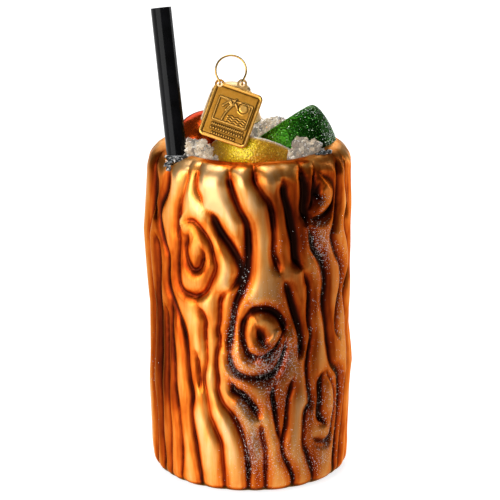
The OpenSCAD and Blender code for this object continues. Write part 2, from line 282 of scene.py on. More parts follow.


# ---- the bark ----

# Each groove: half width, darkness from 0 to 1, then its route as (bearing, height).
FRONT_GROOVES = [
    (0.5, 0.50, [(-32, 100), (-32, 93), (-29, 90), (-26, 87)]),
    (1.25, 1.0, [(-26, 87), (-22, 85), (-17, 80), (-10, 75), (-6, 71), (-5, 67), (-11, 63)]),
    (0.7, 0.62, [(-11, 63), (-17, 60), (-18, 53), (-19, 50), (-17, 45)]),
    (1.0, 1.0, [(-13, 100), (-12, 96), (-10, 92), (-6, 87), (-2, 83), (-1, 78), (-1, 73), (-2, 68),
        (-5, 63), (-8, 59), (-10, 53), (-12, 47), (-12, 43)]),
    (0.7, 0.85, [(-12, 46), (-12, 42), (-10, 39), (-6, 37), (0, 36), (6, 36), (13, 37), (17, 40),
        (20, 44), (21, 48)]),
    (1.0, 1.0, [(18, 48), (20, 51), (17, 54.5), (12, 56.5), (7, 57), (1, 56.5), (-3, 54)]),
    (0.75, 0.95, [(1, 56.5), (-3, 54), (-4.5, 50), (-3, 46), (-1, 43.5), (3, 42.5), (8, 43)]),
    (0.6, 0.8, [(5, 42.5), (11, 43.5), (16, 46), (19, 50)]),
    (1.25, 1.0, [(3, 53), (5, 51), (6.5, 48.5), (8.5, 46.5), (12, 46)]),
    (0.55, 0.55, [(-39, 99), (-39, 95), (-41, 91), (-43, 87), (-44, 80), (-43, 76), (-44, 70), (-44, 64),
        (-41, 61), (-35, 60), (-31, 60), (-26, 62), (-23, 65), (-20, 69), (-21, 72), (-23, 76), (-26, 79),
        (-31, 82), (-35, 83), (-40, 82)]),
    (0.5, 0.48, [(-35, 80), (-37, 77), (-38, 74), (-36, 70), (-33, 68), (-29, 69), (-27, 73), (-29, 76)]),
    (0.6, 0.75, [(-53, 98), (-53, 93), (-55, 89), (-59, 85), (-60, 81), (-55, 74), (-52, 70), (-53, 64),
        (-52, 60), (-48, 56), (-44, 52), (-41, 48), (-39, 43), (-38, 38), (-37, 34), (-35, 29), (-36, 24),
        (-35, 19), (-33, 14), (-31, 8), (-29, 3)]),
    (0.5, 0.60, [(-51, 57), (-51, 48), (-49, 38), (-48, 31), (-46, 23), (-44, 14), (-44, 3)]),
    (0.8, 0.60, [(-64, 77), (-62, 68), (-64, 55), (-63, 43), (-64, 26), (-64, 14), (-62, 3)]),
    (0.5, 0.45, [(-57, 56), (-55, 37), (-55, 27), (-54, 16), (-54, 3)]),
    (0.6, 0.58, [(-32, 58), (-27, 53), (-27, 49), (-26, 41), (-28, 35), (-26, 30), (-24, 24), (-21, 20),
        (-17, 15), (-16, 9), (-15, 3)]),
    (0.5, 0.55, [(-33, 44), (-31, 37), (-30, 32), (-28, 30)]),
    (0.7, 0.72, [(-17, 49), (-19, 45), (-20, 40), (-19, 35), (-19, 32), (-16, 28), (-10, 24), (-6, 20),
        (-3, 15), (-1, 8), (-1, 1)]),
    (1.0, 1.0, [(-13, 36), (-12, 35), (-9, 32), (-5, 31), (-1, 29), (3, 26), (6, 23)]),
    (0.6, 0.60, [(6, 23), (7, 18), (9, 13), (9, 7), (9, 2)]),
    (0.8, 0.70, [(2, 101), (3, 96), (7, 92), (11, 89), (13, 85), (14, 79), (14, 74), (16, 70), (18, 67)]),
    (1.2, 1.0, [(19, 97), (20, 91), (22, 87), (24, 82), (26, 77), (27, 72), (31, 68)]),
    (0.6, 0.72, [(31, 68), (34, 65), (36, 61), (36, 52), (38, 47), (35, 39), (35, 33), (37, 27), (34, 24),
        (33, 19), (33, 14), (36, 10), (39, 4)]),
    (1.1, 1.0, [(19, 66), (22, 63), (25, 58), (28, 53), (30, 49), (31, 45), (28, 41)]),
    (0.6, 0.85, [(15, 35), (13, 31), (14, 27), (16, 20), (19, 15)]),
    (0.6, 0.85, [(25, 36), (24, 32), (22, 28), (21, 21), (19, 15), (20, 11), (25, 5)]),
    (1.3, 1.0, [(32, 100), (32, 96), (33, 91), (32, 87), (33, 84), (34, 81)]),
    (0.8, 0.80, [(34, 81), (37, 78), (39, 74), (43, 71), (46, 68), (48, 63), (47, 57), (49, 51), (52, 43),
        (54, 37), (60, 33), (63, 26), (62, 16), (59, 6)]),
    (0.6, 0.70, [(42, 99), (40, 96), (39, 92), (38, 88), (34, 85)]),
    (0.6, 0.70, [(35, 85), (38, 83), (44, 83), (49, 84), (54, 86), (56, 90), (53, 93), (48, 95),
        (42, 97)]),
    (0.7, 0.95, [(43, 94), (41, 91), (43, 89), (45, 90)]),
    (0.5, 0.55, [(64, 99), (60, 95), (60, 90), (59, 86), (57, 82), (55, 79), (53, 76), (57, 71), (62, 67),
        (63, 61), (60, 55), (59, 49), (62, 43)]),
    (0.9, 1.0, [(46, 36), (44, 32), (44, 27), (44, 22), (49, 18)]),
    (0.5, 0.60, [(47, 36), (54, 31), (57, 25), (56, 20), (54, 15), (49, 13), (42, 14), (37, 16)]),
    (0.5, 0.55, [(72, 98), (70, 92), (72, 85), (68, 79), (72, 73), (74, 65), (68, 57), (72, 49), (74, 41),
        (72, 31), (70, 17), (66, 5)]),
    (0.6, 0.60, [(-72, 99), (-69, 90), (-71, 82), (-75, 72), (-74, 60), (-73, 45), (-75, 30), (-73, 15),
        (-74, 3)]),
    (0.6, 0.65, [(-66, 96), (-65, 90), (-67, 85), (-63, 80)]),
]

# Each knot: bearing, height, half width, half height, bulge
FRONT_KNOTS = [
    (-34, 71.5, 6.0, 12.5, 0.5), (6, 47, 8.0, 9.5, 0.9), (46, 90, 4.6, 6.5, 0.5),
    (50, 26, 3.6, 9.0, 0.6)
]
BACK_KNOTS = [(128, 60, 7.0, 11.0, 0.8), (232, 38, 7.5, 10.5, 0.8), (178, 82, 5.5, 8.0, 0.7)]
# Bearings of the first and last plain groove on the back, and the step between them
FIRST_BACK, LAST_BACK, BACK_STEP = 80, 278, 9
# Grooves that end below this height run on under the foot by this much
FOOT_LINE = 9
FOOT_RUN = 8
# Degrees between the columns of points on the front half and on the back half
FRONT_STEP, REAR_STEP = 0.6, 1.5
# Rows of points on the straight part of the side
SIDE_ROWS = 178
# How far from its middle line a groove still shows
GROOVE_REACH = 7

# Soft patches of thicker lacquer, also painted shade on the log's sides, and painted highlights where the
# amount is below zero: bearing, height, half width, half height in mm, amount
LACQUER_SHADE_AND_HIGHLIGHT_PATCHES = [
    (-34, 71, 6, 11, 0.24), (-38, 52, 9, 10, 0.12), (-55, 40, 14, 26, 0.10), (-62, 85, 7, 14, 0.14),
    (8, 38, 10, 10, 0.16), (30, 80, 14, 26, 0.10), (44, 60, 14, 40, 0.08), (45, 84, 9, 10, 0.10),
    (62, 45, 12, 60, 0.08), (-70, 50, 9, 70, 0.12), (-14, 91, 6, 7, -0.16), (-38, 93, 6, 5, -0.14),
    (72, 60, 6, 40, 0.06), (-20, 90, 3, 6, -0.06), (-70, 98, 7, 6, 0.14), (66, 99, 7, 5, 0.14),
    (-15, 38, 5, 16, -0.14), (-27, 42, 4, 22, -0.12), (-62, 36, 6, 22, 0.10)
]

# Soft patches where the coat is smoky brown, and where it darkens the log's sides as painted shade:
# bearing, height, half width, half height in mm, amount
SMOKE_AND_SHADE_PATCHES = [
    (27, 82, 12, 24, 0.68), (11, 35, 8, 6, 0.8), (12, 89, 6, 7, 0.6), (72, 58, 9, 30, 0.22),
    (45, 42, 15, 24, 0.65), (38, 12, 18, 18, 0.6), (52, 80, 9, 24, 0.45), (1, 14, 3.2, 11, 0.5),
    (-70, 50, 9, 80, 0.62), (16, 62, 6, 8, 0.5), (12, 47, 7, 9, 0.55), (20, 28, 9, 12, 0.3),
    (-66, 36, 7, 22, 0.30), (-5, 27, 3.5, 6, 0.45), (1, 12, 3, 8, 0.3), (42, 8, 8, 8, 0.3),
    (66, 99, 8, 6, 0.75), (-72, 98, 8, 7, 0.55)
]

# Soft patches of glitter: bearing, height, half width, half height in mm, density
GLITTER_PATCHES = [
    (10, 41, 9, 6, 1.0), (-10, 48, 2, 10, 0.8), (-9, 38, 3, 4, 0.6), (2, 60, 5, 4, 0.35),
    (18, 60, 4, 5, 0.3), (12, 30, 6, 5, 0.55), (3, 17, 4, 9, 0.6), (15, 12, 6, 9, 0.45),
    (-12, 8, 5, 8, 0.18), (-5, 27, 2.5, 6, 0.8), (1, 12, 2.5, 9, 0.6), (42, 7, 8, 5, 0.35),
    (24, 45, 3, 9, 0.5), (40, 78, 5, 5, 0.6), (47, 73, 4, 8, 0.65), (44, 88, 2, 3, 0.7),
    (36, 25, 2.5, 10, 0.5), (50, 25, 4, 9, 0.55), (52, 12, 5, 5, 0.4), (42, 55, 3, 16, 0.4),
    (62, 60, 3, 20, 0.5), (64, 25, 4, 20, 0.35), (-4, 72, 1.5, 8, 0.3), (14, 72, 2.5, 8, 0.3),
    (30, 12, 7, 9, 0.2), (-76, 30, 4, 14, 0.2), (-2, 63, 2, 4, 0.5), (100, 50, 12, 30, 0.12),
    (180, 50, 20, 30, 0.10), (250, 45, 14, 30, 0.12)
]


def back_groove(bearing, seed):
    """Pieces of a groove that runs up the back, bends round the knots and stops at their rings."""
    rng = np.random.default_rng(seed)
    phase = rng.uniform(0, 2 * math.pi, 3)
    heights = np.arange(2, 101, 5.0)
    route = bearing + 2.2 * np.sin(heights / 17 + phase[0]) + 1.0 * np.sin(heights / 7 + phase[1])
    for knot_b, knot_h, half_w, half_h, _ in BACK_KNOTS:
        away = route - knot_b
        reach = math.degrees(half_w / BODY_R) + 4
        nearness = np.exp(-((heights - knot_h) / (half_h * 1.15)) ** 2)
        side = 1 if bearing > knot_b else -1
        closeness = np.clip(1 - side * away / (2.6 * reach), 0, 1.2)
        route = route + side * nearness * closeness * reach
    low = rng.choice([0, 0, 2, 5])
    pieces = [[]]
    for place, height in zip(route[low:], heights[low:]):
        if min(knot_distance(place, height, knot) for knot in BACK_KNOTS) > 1.2:
            pieces[-1].append((place, height))
        elif pieces[-1]:
            pieces.append([])
    return [piece for piece in pieces if len(piece) > 2]


def knot_distance(bearing, height, knot):
    """Distance from a knot's middle, where 1 is its ring."""
    knot_b, knot_h, half_w, half_h, _ = knot
    return math.hypot(math.radians(bearing - knot_b) * BODY_R / half_w, (height - knot_h) / half_h)


def knot_rings(bearing, height, half_w, half_h):
    """Two open oval rings round a knot, the inner one curling in."""
    rings = []
    for scale, start, turn in ((1.0, 100, 330), (0.5, 250, 300)):
        angles = np.radians(start + np.linspace(0, turn, 16))
        shrink = scale * (1 - 0.12 * np.linspace(0, 1, 16))
        across = np.degrees(half_w * shrink * np.cos(angles) / BODY_R)
        rings.append(list(zip(bearing + across, height + half_h * shrink * np.sin(angles))))
    return rings


def all_grooves():
    grooves = list(FRONT_GROOVES)
    for i, bearing in enumerate(np.arange(FIRST_BACK, LAST_BACK, BACK_STEP)):
        # widths and darkness change from groove to groove in no plain order
        width = 0.55 + 0.5 * ((i * 7) % 5) / 5
        dark = 0.6 + 0.35 * ((i * 3) % 4) / 3
        grooves += [(width, dark, piece) for piece in back_groove(float(bearing), 100 + i)]
    for bearing, height, half_w, half_h, _ in BACK_KNOTS:
        for ring in knot_rings(bearing, height, half_w, half_h):
            grooves.append((0.7, 0.8, ring))
    return grooves


def groove_path(route):
    """A groove's line in mm on the unrolled side, and how its width tapers along it."""
    (first_b, first_h), (last_b, last_h) = route[0], route[-1]
    if first_h < FOOT_LINE:
        route = [(first_b, first_h - FOOT_RUN)] + route
    if last_h < FOOT_LINE:
        route = route + [(last_b, last_h - FOOT_RUN)]
    path = np.array(route, float)
    path[:, 0] = np.radians(path[:, 0]) * BODY_R
    path = catmull_rom(path, 0.6)
    length = np.concatenate([[0], np.cumsum(np.linalg.norm(np.diff(path, axis=0), axis=1))])
    taper = smooth_step(-1.5, 4.5, np.minimum(length, length[-1] - length))
    return path, taper * (0.93 + 0.07 * np.sin(length * 0.4 + 3 * path[0, 1]))


def within_reach(places, line):
    """Which places lie within a groove's reach of its line."""
    return np.where((places > line.min() - GROOVE_REACH) & (places < line.max() + GROOVE_REACH))[0]


def nearest_on_path(across, up, path, taper):
    """Squared distance of each point of a grid from a path, and the taper at the nearest place."""
    distance2 = np.full(across.shape, 1e9)
    width = np.ones(across.shape)
    for (path_across, path_up), share in zip(path, taper):
        away2 = (across - path_across) ** 2 + (up - path_up) ** 2
        nearer = away2 < distance2
        distance2[nearer] = away2[nearer]
        width[nearer] = share
    return distance2, width


def bark_fields(bearings, heights):
    """The grooves on a grid of heights (rows) and bearings (columns).

    Returns their narrow and broad depths, then the dark core and the halo of their lacquer.
    """
    across = np.radians(bearings) * BODY_R
    shape = (len(heights), len(bearings))
    narrow, broad, core, halo = (np.ones(shape) for _ in range(4))
    turn = 2 * math.pi * BODY_R
    for half_width, dark, route in all_grooves():
        path, taper = groove_path(route)
        # a groove near the middle of the back may show at either end of the unrolled side
        for wrap in (-turn, 0, turn):
            wrapped = path + [wrap, 0]
            columns = within_reach(across, wrapped[:, 0])
            rows = within_reach(heights, wrapped[:, 1])
            if len(columns) == 0 or len(rows) == 0:
                continue
            grid = np.meshgrid(across[columns], heights[rows])
            distance2, width = nearest_on_path(*grid, wrapped, taper)
            w = half_width * (0.45 + 0.55 * width)
            wide = w + 1.0 + 0.6 * half_width
            deep = 0.50 + 0.38 * half_width
            block = np.ix_(rows, columns)
            narrow[block] *= 1 - 0.95 * width * np.exp(-distance2 / w ** 2)
            broad[block] *= 1 - deep * width * np.exp(-distance2 / wide ** 2)
            core[block] *= 1 - width * dark * np.exp(-(distance2 / (0.88 * w + 0.15) ** 2) ** 1.3)
            halo[block] *= 1 - width * (0.25 + 0.65 * dark) * np.exp(-distance2 / (w + 1.85) ** 2)
    return 1 - narrow, 1 - broad, 1 - core, 1 - halo


def soft_patches(patches, bearings, heights):
    """Sum of soft round patches on the grid."""
    total = np.zeros((len(heights), len(bearings)))
    for bearing, height, half_w, half_h, amount in patches:
        away = (bearings - bearing + 180) % 360 - 180
        across = np.radians(away) * BODY_R
        total += amount * np.exp(-(across[None] / half_w) ** 2
                                 - ((heights[:, None] - height) / half_h) ** 2)
    return total


def blown_shape(bearings, heights):
    """How far the log bulges out or in from a true cylinder, as hand-blown glass does."""
    left = np.interp(heights, [0, 10, 30, 52, 75, 92, 100], [-1.2, -0.9, 0, -0.6, 1.2, 0.3, 0])
    right = np.interp(heights, [0, 10, 33, 45, 70, 100], [-0.9, -0.6, 0.7, -0.4, 0.4, 0])
    side = np.sin(np.radians(bearings))
    front = 0.25 * np.sin(heights / 13)[:, None] * np.cos(2 * np.radians(bearings))[None]
    return (left[:, None] * np.clip(-side, 0, 1)[None] ** 2
            + right[:, None] * np.clip(side, 0, 1)[None] ** 2 + front)


def log_profile():
    """Rows of the log's outline from the middle of the base up and over the rim to the drink.

    Returns radius, height, outward normal and how much of the bark's relief each row takes.
    """
    rows = []
    for r in np.linspace(3, KICK_R, 6):
        rows.append((r, KICK_Z * (1 - (r / KICK_R) ** 2), 0, -1, 0))
    for r in np.linspace(19.5, BODY_R - FOOT_R, 3):
        rows.append((r, 0, 0, -1, 0))
    for a in np.radians(np.linspace(15, 90, 7)):
        rows.append((BODY_R - FOOT_R + FOOT_R * math.sin(a), FOOT_R - FOOT_R * math.cos(a),
                     math.sin(a), -math.cos(a), math.sin(a) ** 0.8))
    side_top = BODY_H - SHOULDER_R
    for z in np.linspace(FOOT_R, side_top, SIDE_ROWS + 1)[1:]:
        rows.append((BODY_R, z, 1, 0, 1))
    for a in np.radians(np.linspace(0, 90, 20)[1:]):
        rows.append((CREST_R + SHOULDER_R * math.cos(a), side_top + SHOULDER_R * math.sin(a),
                     math.cos(a), math.sin(a), 1 - 0.75 * (a / (math.pi / 2)) ** 3))
    for t in np.linspace(0, 1, 8)[1:]:
        rows.append((CREST_R + (DISH_R - CREST_R) * t, BODY_H + (DRINK_Z - BODY_H) * t ** 1.4,
                     -0.4, 0.9, 0.25 * (1 - t)))
    for r in np.linspace(DISH_R - 3, 3, 5):
        rows.append((r, DRINK_Z, 0, 1, 0))
    return np.array(rows, float)


def bark_points(bearings, profile, narrow, broad):
    """Rings of points on the log's surface, from the middle of the base to the drink."""
    radius, height, out_r, out_z, share = profile.T
    knots = [(b, h, w * 0.9, t * 0.9, up) for b, h, w, t, up in FRONT_KNOTS + BACK_KNOTS]
    relief = soft_patches(knots, bearings, height) - 0.8 * narrow - 2.0 * broad + 0.85
    # the relief is weaker at the foot
    flatter = 0.25 + 0.75 * smooth_step(0.5, 9, height)
    depth = relief * (share * flatter)[:, None]
    bulge = blown_shape(bearings, height) * (share > 0)[:, None]
    r = radius[:, None] + depth * out_r[:, None] + bulge
    angle = np.radians(bearings)
    x = r * np.sin(angle)
    y = -r * np.cos(angle)
    z = np.maximum(height[:, None] + depth * out_z[:, None], 0)
    # the rim dips in front of the straw, where the glue runs over it
    from_dip = np.hypot(x - RIM_DIP[0], y - RIM_DIP[1])
    z = z - RIM_DIP_DEPTH * smooth_step(4.4, 1.6, from_dip) * (height > 93)[:, None]
    return np.stack([x, y, z], axis=-1)


def rim_line(bearings, radius, height):
    """Lacquer of the red line along the inside of the rim, strongest at the front."""
    front = smooth_step(-38, -26, bearings) * smooth_step(46, 34, bearings)
    reach = 3.0 + 0.6 * np.sin(np.radians(bearings) * 7 + 2.6)
    line = smooth_step(reach + 0.8, reach - 0.4, (radius - CREST_R)[:, None])
    strength = 0.12 + front * (0.32 + 0.08 * np.sin(np.radians(bearings) * 5 - 2.0))
    # the base has rows at the same radius, and they don't count
    return line * (height > BODY_H / 2)[:, None] * strength[None]


def bark_paint(bearings, profile, core, halo):
    """Strength of the lacquer, the smoky coat with its painted shade, and the glitter at each point, by
    name.
    """
    radius, height, _, _, share = profile.T
    # the painted lines fade out over the front and back of the rim, and cross it at the sides
    least = 0.25 + 0.45 * smooth_step(0.6, 0.85, np.abs(np.sin(np.radians(bearings))))
    fade = least + (1 - least) * share[:, None]
    contour = 0.07 * np.exp(-((halo - 0.42) / 0.07) ** 2)
    lacquer = (0.55 * core + 0.46 * halo + contour) * fade
    # lacquer gathers in a line round the foot
    lacquer += 0.5 * smooth_step(2.2, 0.6, height)[:, None] * (radius > 20)[:, None]
    # the patches thicken the lacquer, paint shade on the sides, and paint highlights where the amount is
    # below zero
    lacquer += soft_patches(LACQUER_SHADE_AND_HIGHLIGHT_PATCHES, bearings, height)
    # painted shade: more lacquer towards the foot darkens it, against the bright reflection of the floor
    # there
    lacquer += 0.09 * smooth_step(22, 4, height)[:, None]
    return {
        "lacquer": np.maximum(lacquer, rim_line(bearings, radius, height)),
        "smoke_and_shade": soft_patches(SMOKE_AND_SHADE_PATCHES, bearings, height) * fade,
        "glitter": soft_patches(GLITTER_PATCHES, bearings, height) * (share > 0.3)[:, None],
    }


def bark_log():
    bearings = np.concatenate([np.arange(-90, 90, FRONT_STEP), np.arange(90, 270, REAR_STEP)])
    profile = log_profile()
    narrow, broad, core, halo = bark_fields(bearings, profile[:, 1])
    rings = bark_points(bearings, profile, narrow, broad)
    log = ring_mesh("bark_log", rings, (0, 0, KICK_Z), (0, 0, DRINK_Z))
    for name, strength in bark_paint(bearings, profile, core, halo).items():
        # the two closing points take no paint
        set_attribute(log, name, np.concatenate([np.clip(strength, 0, 1).ravel(), [0.0, 0.0]]))
    return log


def lacquer_material():
    n = Nodes("log_lacquer")
    upright = n.add("ShaderNodeMapping", {"Vector": n.position(), "Scale": (1, 1, 0.12)})
    fibre = n.span(n.noise(420, 4, 0.6, upright.outputs["Vector"]), 0.30, 0.70, -0.09, 0.10)
    cloud = n.cloudy(120, 4, -0.05, 0.06)
    tone = n.plus(n.plus(n.attribute("lacquer"), cloud, clamp=False), fibre)
    # from bare gold, through orange and red where the lacquer is thin, to near black
    colour = n.ramp(tone, [
        (0.00, (0.95, 0.56, 0.23)), (0.15, (0.92, 0.38, 0.075)), (0.30, (0.80, 0.19, 0.016)),
        (0.44, (0.50, 0.070, 0.005)), (0.58, (0.20, 0.019, 0.003)), (0.72, (0.055, 0.006, 0.002)),
        (0.90, (0.014, 0.003, 0.002))])
    # the smoky brown coat darkens the colour; on the log's sides it is painted shade
    smoke_and_shade = n.span(n.attribute("smoke_and_shade"), 0, 1)
    n.set(Base_Color=n.mix(smoke_and_shade, colour, (0.30, 0.22, 0.18), "MULTIPLY"), Metallic=0.95,
          Roughness=n.span(tone, 0, 1, 0.38, 0.30), Specular_Tint=(1.0, 0.66, 0.38),
          Coat_Weight=n.span(tone, 0.0, 0.40, 0.26, 0.0), Coat_Roughness=0.28, Coat_IOR=1.5)
    n.bump(n.noise(1400, 3), 0.00004, 0.5)
    return n.material


def build_log():
    return finish_piece(bark_log(), "ornament", "log_lacquer", lacquer_material(), "glass_body")


# ---- flakes of glitter ----

FLAKE_LIFT = 0.04


def scatter(obj, count, seed, weight=None):
    """Random points on a mesh's surface with their normals, spread by area times weight."""
    mesh = obj.data
    mesh.calc_loop_triangles()
    tri = np.empty(len(mesh.loop_triangles) * 3, np.int32)
    mesh.loop_triangles.foreach_get("vertices", tri)
    tri = tri.reshape(-1, 3)
    points = points_of(obj)
    a, b, c = (points[tri[:, i]] for i in range(3))
    cross = np.cross(b - a, c - a)
    area = np.linalg.norm(cross, axis=1)
    share = area if weight is None else area * np.maximum(weight[tri].mean(axis=1), 0)
    rng = np.random.default_rng(seed)
    pick = rng.choice(len(tri), count, p=share / share.sum())
    u, v = rng.random(count), rng.random(count)
    over = u + v > 1
    u[over], v[over] = 1 - u[over], 1 - v[over]
    at = a[pick] + (b - a)[pick] * u[:, None] + (c - a)[pick] * v[:, None]
    normal = cross[pick] / np.maximum(area[pick], 1e-12)[:, None]
    return at, normal, rng


def flakes(name, at, normal, rng, size, tilt):
    """Tiny six-sided flakes lying on a surface, each tipped its own way."""
    count = len(at)
    tipped = normal + tilt * rng.normal(size=(count, 3))
    tipped /= np.linalg.norm(tipped, axis=1)[:, None]
    side = np.cross(tipped, rng.normal(size=(count, 3)))
    side /= np.linalg.norm(side, axis=1)[:, None]
    other = np.cross(tipped, side)
    reach = size * rng.uniform(0.6, 1.3, count)
    middle = at + normal * FLAKE_LIFT
    corners = []
    for a in np.radians(np.arange(0, 360, 60)):
        corners.append(middle + (side * math.cos(a) + other * math.sin(a)) * reach[:, None])
    vertices = np.stack(corners, axis=1).reshape(-1, 3)
    faces = np.arange(count * 6).reshape(-1, 6).tolist()
    obj = new_object(name, vertices, faces, smooth=False)
    set_attribute(obj, "hue", rng.random(count), "FACE")
    return obj


def glitter_material(name, stops, roughness, metallic=1.0):
    n = Nodes(name)
    n.set(Base_Color=n.ramp(n.attribute("hue"), stops), Metallic=metallic,
          Roughness=n.cloudy(3000, 1, roughness * 0.6, roughness * 1.4))
    return n.material


# ---- fruit ----

# A wedge fills the space inside its balls (centre, radius) and below its planes
# (point, outward direction). The first plane is the face that the knife left.
DRINK_CUT = ((0, 0, DRINK_Z - 0.6), (0, 0, -1))
LEMON_AT = np.array([2.5, 1.2, 95.5])
LEMON = {
    "inside": (2.5, -3, 97.5),
    "balls": [(LEMON_AT, 14.6)],
    "planes": [(LEMON_AT - 0.4 * facing(-38, 16), facing(-38, 16)), DRINK_CUT],
}
LIME = {
    "inside": (14, 3, 100),
    "balls": [((2.7, 6, 93.5), 24), ((14, 12.5, 96), 20)],
    "planes": [((0, 9, 96.5), facing(-90, 0, -11)), ((12, 2, 107.3), facing(-14, -34)),
               ((20, 3, 110.4), facing(0, 9)), DRINK_CUT],
}
ORANGE_AT = np.array([-12.5, 10, 96.5])
ORANGE = {
    "inside": (-13, 9, 100),
    "balls": [(ORANGE_AT, 10.8)],
    "planes": [(ORANGE_AT + 3 * facing(0, 90, 35), facing(0, 90, 35)), DRINK_CUT],
}


def wedge_mesh(name, fruit):
    """The wedge's surface seen from a point inside it, its edges rounded as blown glass leaves them.

    Returns the object, the nearest surface of each point and how far behind the second one lies.
    """
    bm = bmesh.new()
    bmesh.ops.create_icosphere(bm, subdivisions=7, radius=1)
    ways = np.array([v.co for v in bm.verts])
    faces = [[v.index for v in f.verts] for f in bm.faces]
    bm.free()
    ways /= np.linalg.norm(ways, axis=1)[:, None]
    inside = np.array(fruit["inside"], float)
    reach = []
    for centre, radius in fruit["balls"]:
        offset = inside - np.array(centre)
        along = ways @ offset
        reach.append(np.sqrt(along ** 2 + radius ** 2 - offset @ offset) - along)
    for point, normal in fruit["planes"]:
        closing = np.maximum(ways @ np.array(normal), 1e-4)
        reach.append((np.array(point) - inside) @ np.array(normal) / closing)
    reach = np.array(reach)
    order = np.sort(reach, axis=0)
    sharpness = 26
    length = order[0] * np.sum((order[0] / reach) ** sharpness, axis=0) ** (-1 / sharpness)
    obj = new_object(name, inside + ways * length[:, None], faces)
    return obj, reach.argmin(axis=0), order[1] - order[0]


def flesh_pattern(points, centre, normal):
    """Juice segments on a cut face: 0 on a membrane, 1 in the middle of a segment."""
    normal = unit(normal)
    u = unit(np.cross(normal, [0.3, 0.2, 0.9]))
    v = np.cross(normal, u)
    local = points - np.array(centre)
    angle = np.arctan2(local @ v, local @ u)
    radius = np.hypot(local @ u, local @ v)
    segments = 9
    phase = (angle / (2 * math.pi) * segments + 0.06 * np.sin(radius * 1.7)) % 1
    return np.abs(np.sin(np.pi * phase))


def shape_fruit(name, fruit, seed, pores=0.03):
    """A wedge with pores on the rind, juice segments on the cut and what its material reads."""
    obj, nearest, behind = wedge_mesh(name, fruit)
    points = points_of(obj)
    normals = read_vertices(obj, "normal")
    knife = len(fruit["balls"])
    point, normal = fruit["planes"][0]
    centre, radius = fruit["balls"][0]
    on_cut = (nearest == knife) * smooth_step(0.2, 0.7, behind)
    depth = np.abs((points - np.array(point)) @ np.array(normal))
    rim = radius - np.linalg.norm(points - np.array(centre), axis=1)
    pith = np.exp(-(np.maximum(depth, 0) / 0.55) ** 2) * np.exp(-(np.maximum(rim, 0) / 1.1) ** 2)
    segment = flesh_pattern(points, centre, normal)
    relief = on_cut * (1 - pith) * (0.35 * np.minimum(segment * 2.2, 1) - 0.25)
    rng = np.random.default_rng(seed)
    relief += (1 - on_cut) * pores * rng.normal(size=len(points))
    set_points(obj, points + normals * relief[:, None])
    set_attribute(obj, "cut", on_cut)
    set_attribute(obj, "pith", pith)
    set_attribute(obj, "segment", segment)
    return obj


def fruit_material(name, x_low, x_high, rind, flesh, membrane, pith, roughness, metallic, coat,
                   pores=0.5):
    """Rind colours run from left to right between two X values, broken up by noise."""
    n = Nodes(name)
    axes = n.add("ShaderNodeSeparateXYZ", {0: n.position()})
    across = n.span(axes.outputs["X"], x_low * MM, x_high * MM)
    skin = n.ramp(n.plus(across, n.cloudy(350, 4, -0.05, 0.05)), rind)
    speckles = n.span(n.noise(1700, 3, 0.7), 0.40, 0.62, 0.0, 0.35)
    skin = n.mix(speckles, skin, (0.10, 0.05, 0.01), "MULTIPLY")
    pulp = n.mix(n.span(n.attribute("segment"), 0.10, 0.5), membrane, flesh)
    colour = n.mix(n.attribute("cut"), skin, pulp)
    edge = rind[0][1]
    n.set(Base_Color=n.mix(n.attribute("pith"), colour, pith),
          Roughness=n.cloudy(900, 2, roughness * 0.8, roughness * 1.25),
          Metallic=n.span(n.attribute("pith"), 0, 1, metallic, 0),
          Coat_Weight=coat, Coat_Roughness=0.12,
          Specular_Tint=[0.35 + 0.65 * part / max(edge) for part in edge])
    n.bump(n.cells(1500), 0.00025, pores)
    return n.material


def build_fruit():
    lemon = shape_fruit("lemon_slice", LEMON, 5)
    # the rind is bright yellow on the left; the darker ochre band in its middle is the tag's shadow,
    # painted on
    lemon_rind_and_tag_shadow = [
        (0.00, (0.75, 0.40, 0.02)), (0.15, (0.90, 0.55, 0.02)), (0.24, (1.00, 0.76, 0.01)),
        (0.40, (1.00, 0.82, 0.01)), (0.46, (0.85, 0.50, 0.02)), (0.62, (0.70, 0.34, 0.015)),
        (0.80, (0.85, 0.46, 0.03)), (1.00, (0.75, 0.42, 0.04))]
    yellow = fruit_material(
        "lemon_glass", -12, 17, lemon_rind_and_tag_shadow, flesh=(0.92, 0.70, 0.12), membrane=(0.95, 0.88, 0.55),
        pith=(0.90, 0.89, 0.84), roughness=0.34, metallic=0.35, coat=0.4)
    finish_piece(lemon, "ornament", "lemon_glass", yellow, "lemon_wedge")
    lime = shape_fruit("lime_slice", LIME, 6)
    # painted light and shade: the rind is lighter green on its lit left and darker towards its shaded
    # right
    lime_rind_lit_to_shaded = [
        (0.00, (0.10, 0.24, 0.008)), (0.35, (0.04, 0.18, 0.005)), (0.55, (0.010, 0.085, 0.003)),
        (0.85, (0.003, 0.030, 0.002)), (1.00, (0.012, 0.060, 0.008))]
    green = fruit_material(
        "lime_glass", 0, 26, lime_rind_lit_to_shaded, flesh=(0.05, 0.22, 0.02), membrane=(0.42, 0.55, 0.20),
        pith=(0.55, 0.62, 0.45), roughness=0.30, metallic=0.85, coat=0.05)
    finish_piece(lime, "ornament", "lime_glass", green, "lime_wedge")
    orange = shape_fruit("orange_slice", ORANGE, 7, 0.004)
    orange_rind = [
        (0.00, (0.62, 0.08, 0.003)), (0.5, (0.50, 0.055, 0.002)), (1.00, (0.42, 0.045, 0.002))]
    red = fruit_material(
        "orange_glass", -23, -6, orange_rind, flesh=(0.78, 0.26, 0.03), membrane=(0.90, 0.60, 0.28),
        pith=(0.80, 0.40, 0.12), roughness=0.24, metallic=0.92, coat=0.08, pores=0.08)
    finish_piece(orange, "ornament", "orange_glass", red, "orange_wedge")
    return lemon, lime


# ---- crushed ice ----

